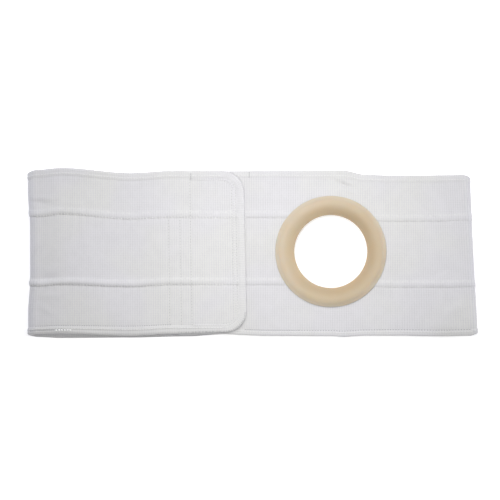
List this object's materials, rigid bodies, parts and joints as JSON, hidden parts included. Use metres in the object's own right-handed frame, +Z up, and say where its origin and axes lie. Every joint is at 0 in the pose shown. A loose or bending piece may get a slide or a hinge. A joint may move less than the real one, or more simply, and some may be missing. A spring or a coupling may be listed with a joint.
{
  "type": "support belt",
  "caption": "Wide white elastic abdominal support belt closed into a flat loop by a hook flap, with a beige moulded ring round an opening in its front.",
  "frame": {"origin": "middle of the loop's footprint, on the surface that its back layer lies on", "axes": "+X along the belt from the left fold to the right fold, past the flap's end and then the ring; +Y across the belt towards its upper edge; +Z up out of the front, towards the viewer"},
  "size_m": [0.4876, 0.1826, 0.0224],
  "materials": {
    "elastic": "fine ribbed white elastic webbing, matt",
    "binding": "white folded tape, matt, stitched in white",
    "hook_tape": "white nylon hook tape, slightly shiny",
    "ring": "smooth matt beige moulded elastomer"
  },
  "bodies": {
    "root": {"upper_panel": "elastic", "middle_panel_front": "elastic", "middle_panel": "elastic", "lower_panel": "elastic", "upper_binding": "binding", "lower_binding": "binding", "flap_binding": "binding", "hook_panel": "hook_tape", "opening_ring": "ring"}
  },
  "joints": []
}
